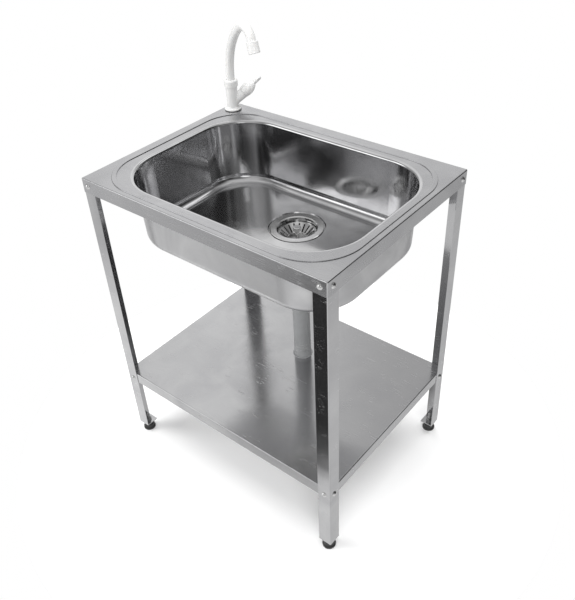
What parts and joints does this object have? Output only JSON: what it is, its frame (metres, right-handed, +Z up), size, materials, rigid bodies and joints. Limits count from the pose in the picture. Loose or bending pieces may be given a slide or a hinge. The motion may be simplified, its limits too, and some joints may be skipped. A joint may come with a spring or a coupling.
{
  "type": "portable handwash sink",
  "caption": "Free-standing stainless sink: a pressed bowl top on bolted angle legs with a shelf, strainer, drain pipe, swivel tap and levelling feet.",
  "frame": {"origin": "on the floor, in the middle of the four feet and under the centre of the top", "axes": "+X to the right along the long front edge, +Y to the back, +Z up; the tap is at the back left corner"},
  "size_m": [0.6072, 0.4744, 0.9253],
  "materials": {
    "top_steel": "satin",
    "bowl_steel": "polished inside",
    "shelf_steel": "satin, faintly reflective",
    "leg_steel": "satin",
    "bolt_steel": "bright plated",
    "nut_steel": "plated",
    "strainer_steel": "polished",
    "gasket_rubber": "matt",
    "foot_rubber": "semi-gloss moulded",
    "drain_plastic": "moulded",
    "pipe_plastic": "ribbed, matt",
    "tap_plastic": "glossy moulded",
    "screen_plastic": "moulded",
    "brass_inner": "machined"
  },
  "bodies": {
    "stand": {"sink_deck": "top_steel", "sink_bowl": "bowl_steel", "shelf": "shelf_steel", "deck_bolts": "bolt_steel", "deck_nuts": "nut_steel", "shelf_bolts": "bolt_steel", "shelf_nuts": "nut_steel", "foot_jam_nuts": "nut_steel", "foot_weld_nuts": "nut_steel", "strainer_body": "strainer_steel", "upper_gasket": "gasket_rubber", "lower_gasket": "gasket_rubber", "strainer_lock_ring": "drain_plastic", "drain_coupling": "drain_plastic", "coupling_washer": "gasket_rubber", "drain_pipe": "pipe_plastic", "pipe_grommet": "pipe_plastic", "tap_body": "tap_plastic", "tap_gasket": "gasket_rubber", "tap_lock_nut": "tap_plastic", "tap_collar": "tap_plastic", "valve_cartridge": "brass_inner", "leg_front_left": "leg_steel", "foot_plate_front_left": "leg_steel", "leg_front_right": "leg_steel", "foot_plate_front_right": "leg_steel", "leg_back_left": "leg_steel", "foot_plate_back_left": "leg_steel", "leg_back_right": "leg_steel", "foot_plate_back_right": "leg_steel"},
    "foot_front_left": {"foot_pad_front_left": "foot_rubber", "foot_stud_front_left": "nut_steel"},
    "foot_front_right": {"foot_pad_front_right": "foot_rubber", "foot_stud_front_right": "nut_steel"},
    "foot_back_left": {"foot_pad_back_left": "foot_rubber", "foot_stud_back_left": "nut_steel"},
    "foot_back_right": {"foot_pad_back_right": "foot_rubber", "foot_stud_back_right": "nut_steel"},
    "basket": {"strainer_basket": "strainer_steel", "basket_knob": "strainer_steel", "basket_stopper": "gasket_rubber"},
    "swivel_spout": {"spout": "tap_plastic", "spout_retainer": "nut_steel", "spout_seals": "gasket_rubber", "aerator_shell": "tap_plastic", "aerator_screen": "screen_plastic"},
    "handle": {"tap_handle": "tap_plastic", "valve_stem": "brass_inner"}
  },
  "joints": [
    {"name": "foot_screw_front_left", "type": "slide", "parent": "stand", "child": "foot_front_left", "axis": [0, 0, -1], "range_m": [0, 0.012]},
    {"name": "foot_screw_front_right", "type": "slide", "parent": "stand", "child": "foot_front_right", "axis": [0, 0, -1], "range_m": [0, 0.012]},
    {"name": "foot_screw_back_left", "type": "slide", "parent": "stand", "child": "foot_back_left", "axis": [0, 0, -1], "range_m": [0, 0.012]},
    {"name": "foot_screw_back_right", "type": "slide", "parent": "stand", "child": "foot_back_right", "axis": [0, 0, -1], "range_m": [0, 0.012]},
    {"name": "basket_lift", "type": "slide", "parent": "stand", "child": "basket", "axis": [0, 0, 1], "range_m": [0, 0.06]},
    {"name": "spout_swivel", "type": "hinge", "parent": "stand", "child": "swivel_spout", "pos_m": [-0.275, 0.192, 0.776], "axis": [0, 0, 1], "continuous": true},
    {"name": "handle_turn", "type": "hinge", "parent": "stand", "child": "handle", "pos_m": [-0.275, 0.192, 0.727], "axis": [0.5065, 0.6037, 0.6157], "range_deg": [0, 90]}
  ]
}
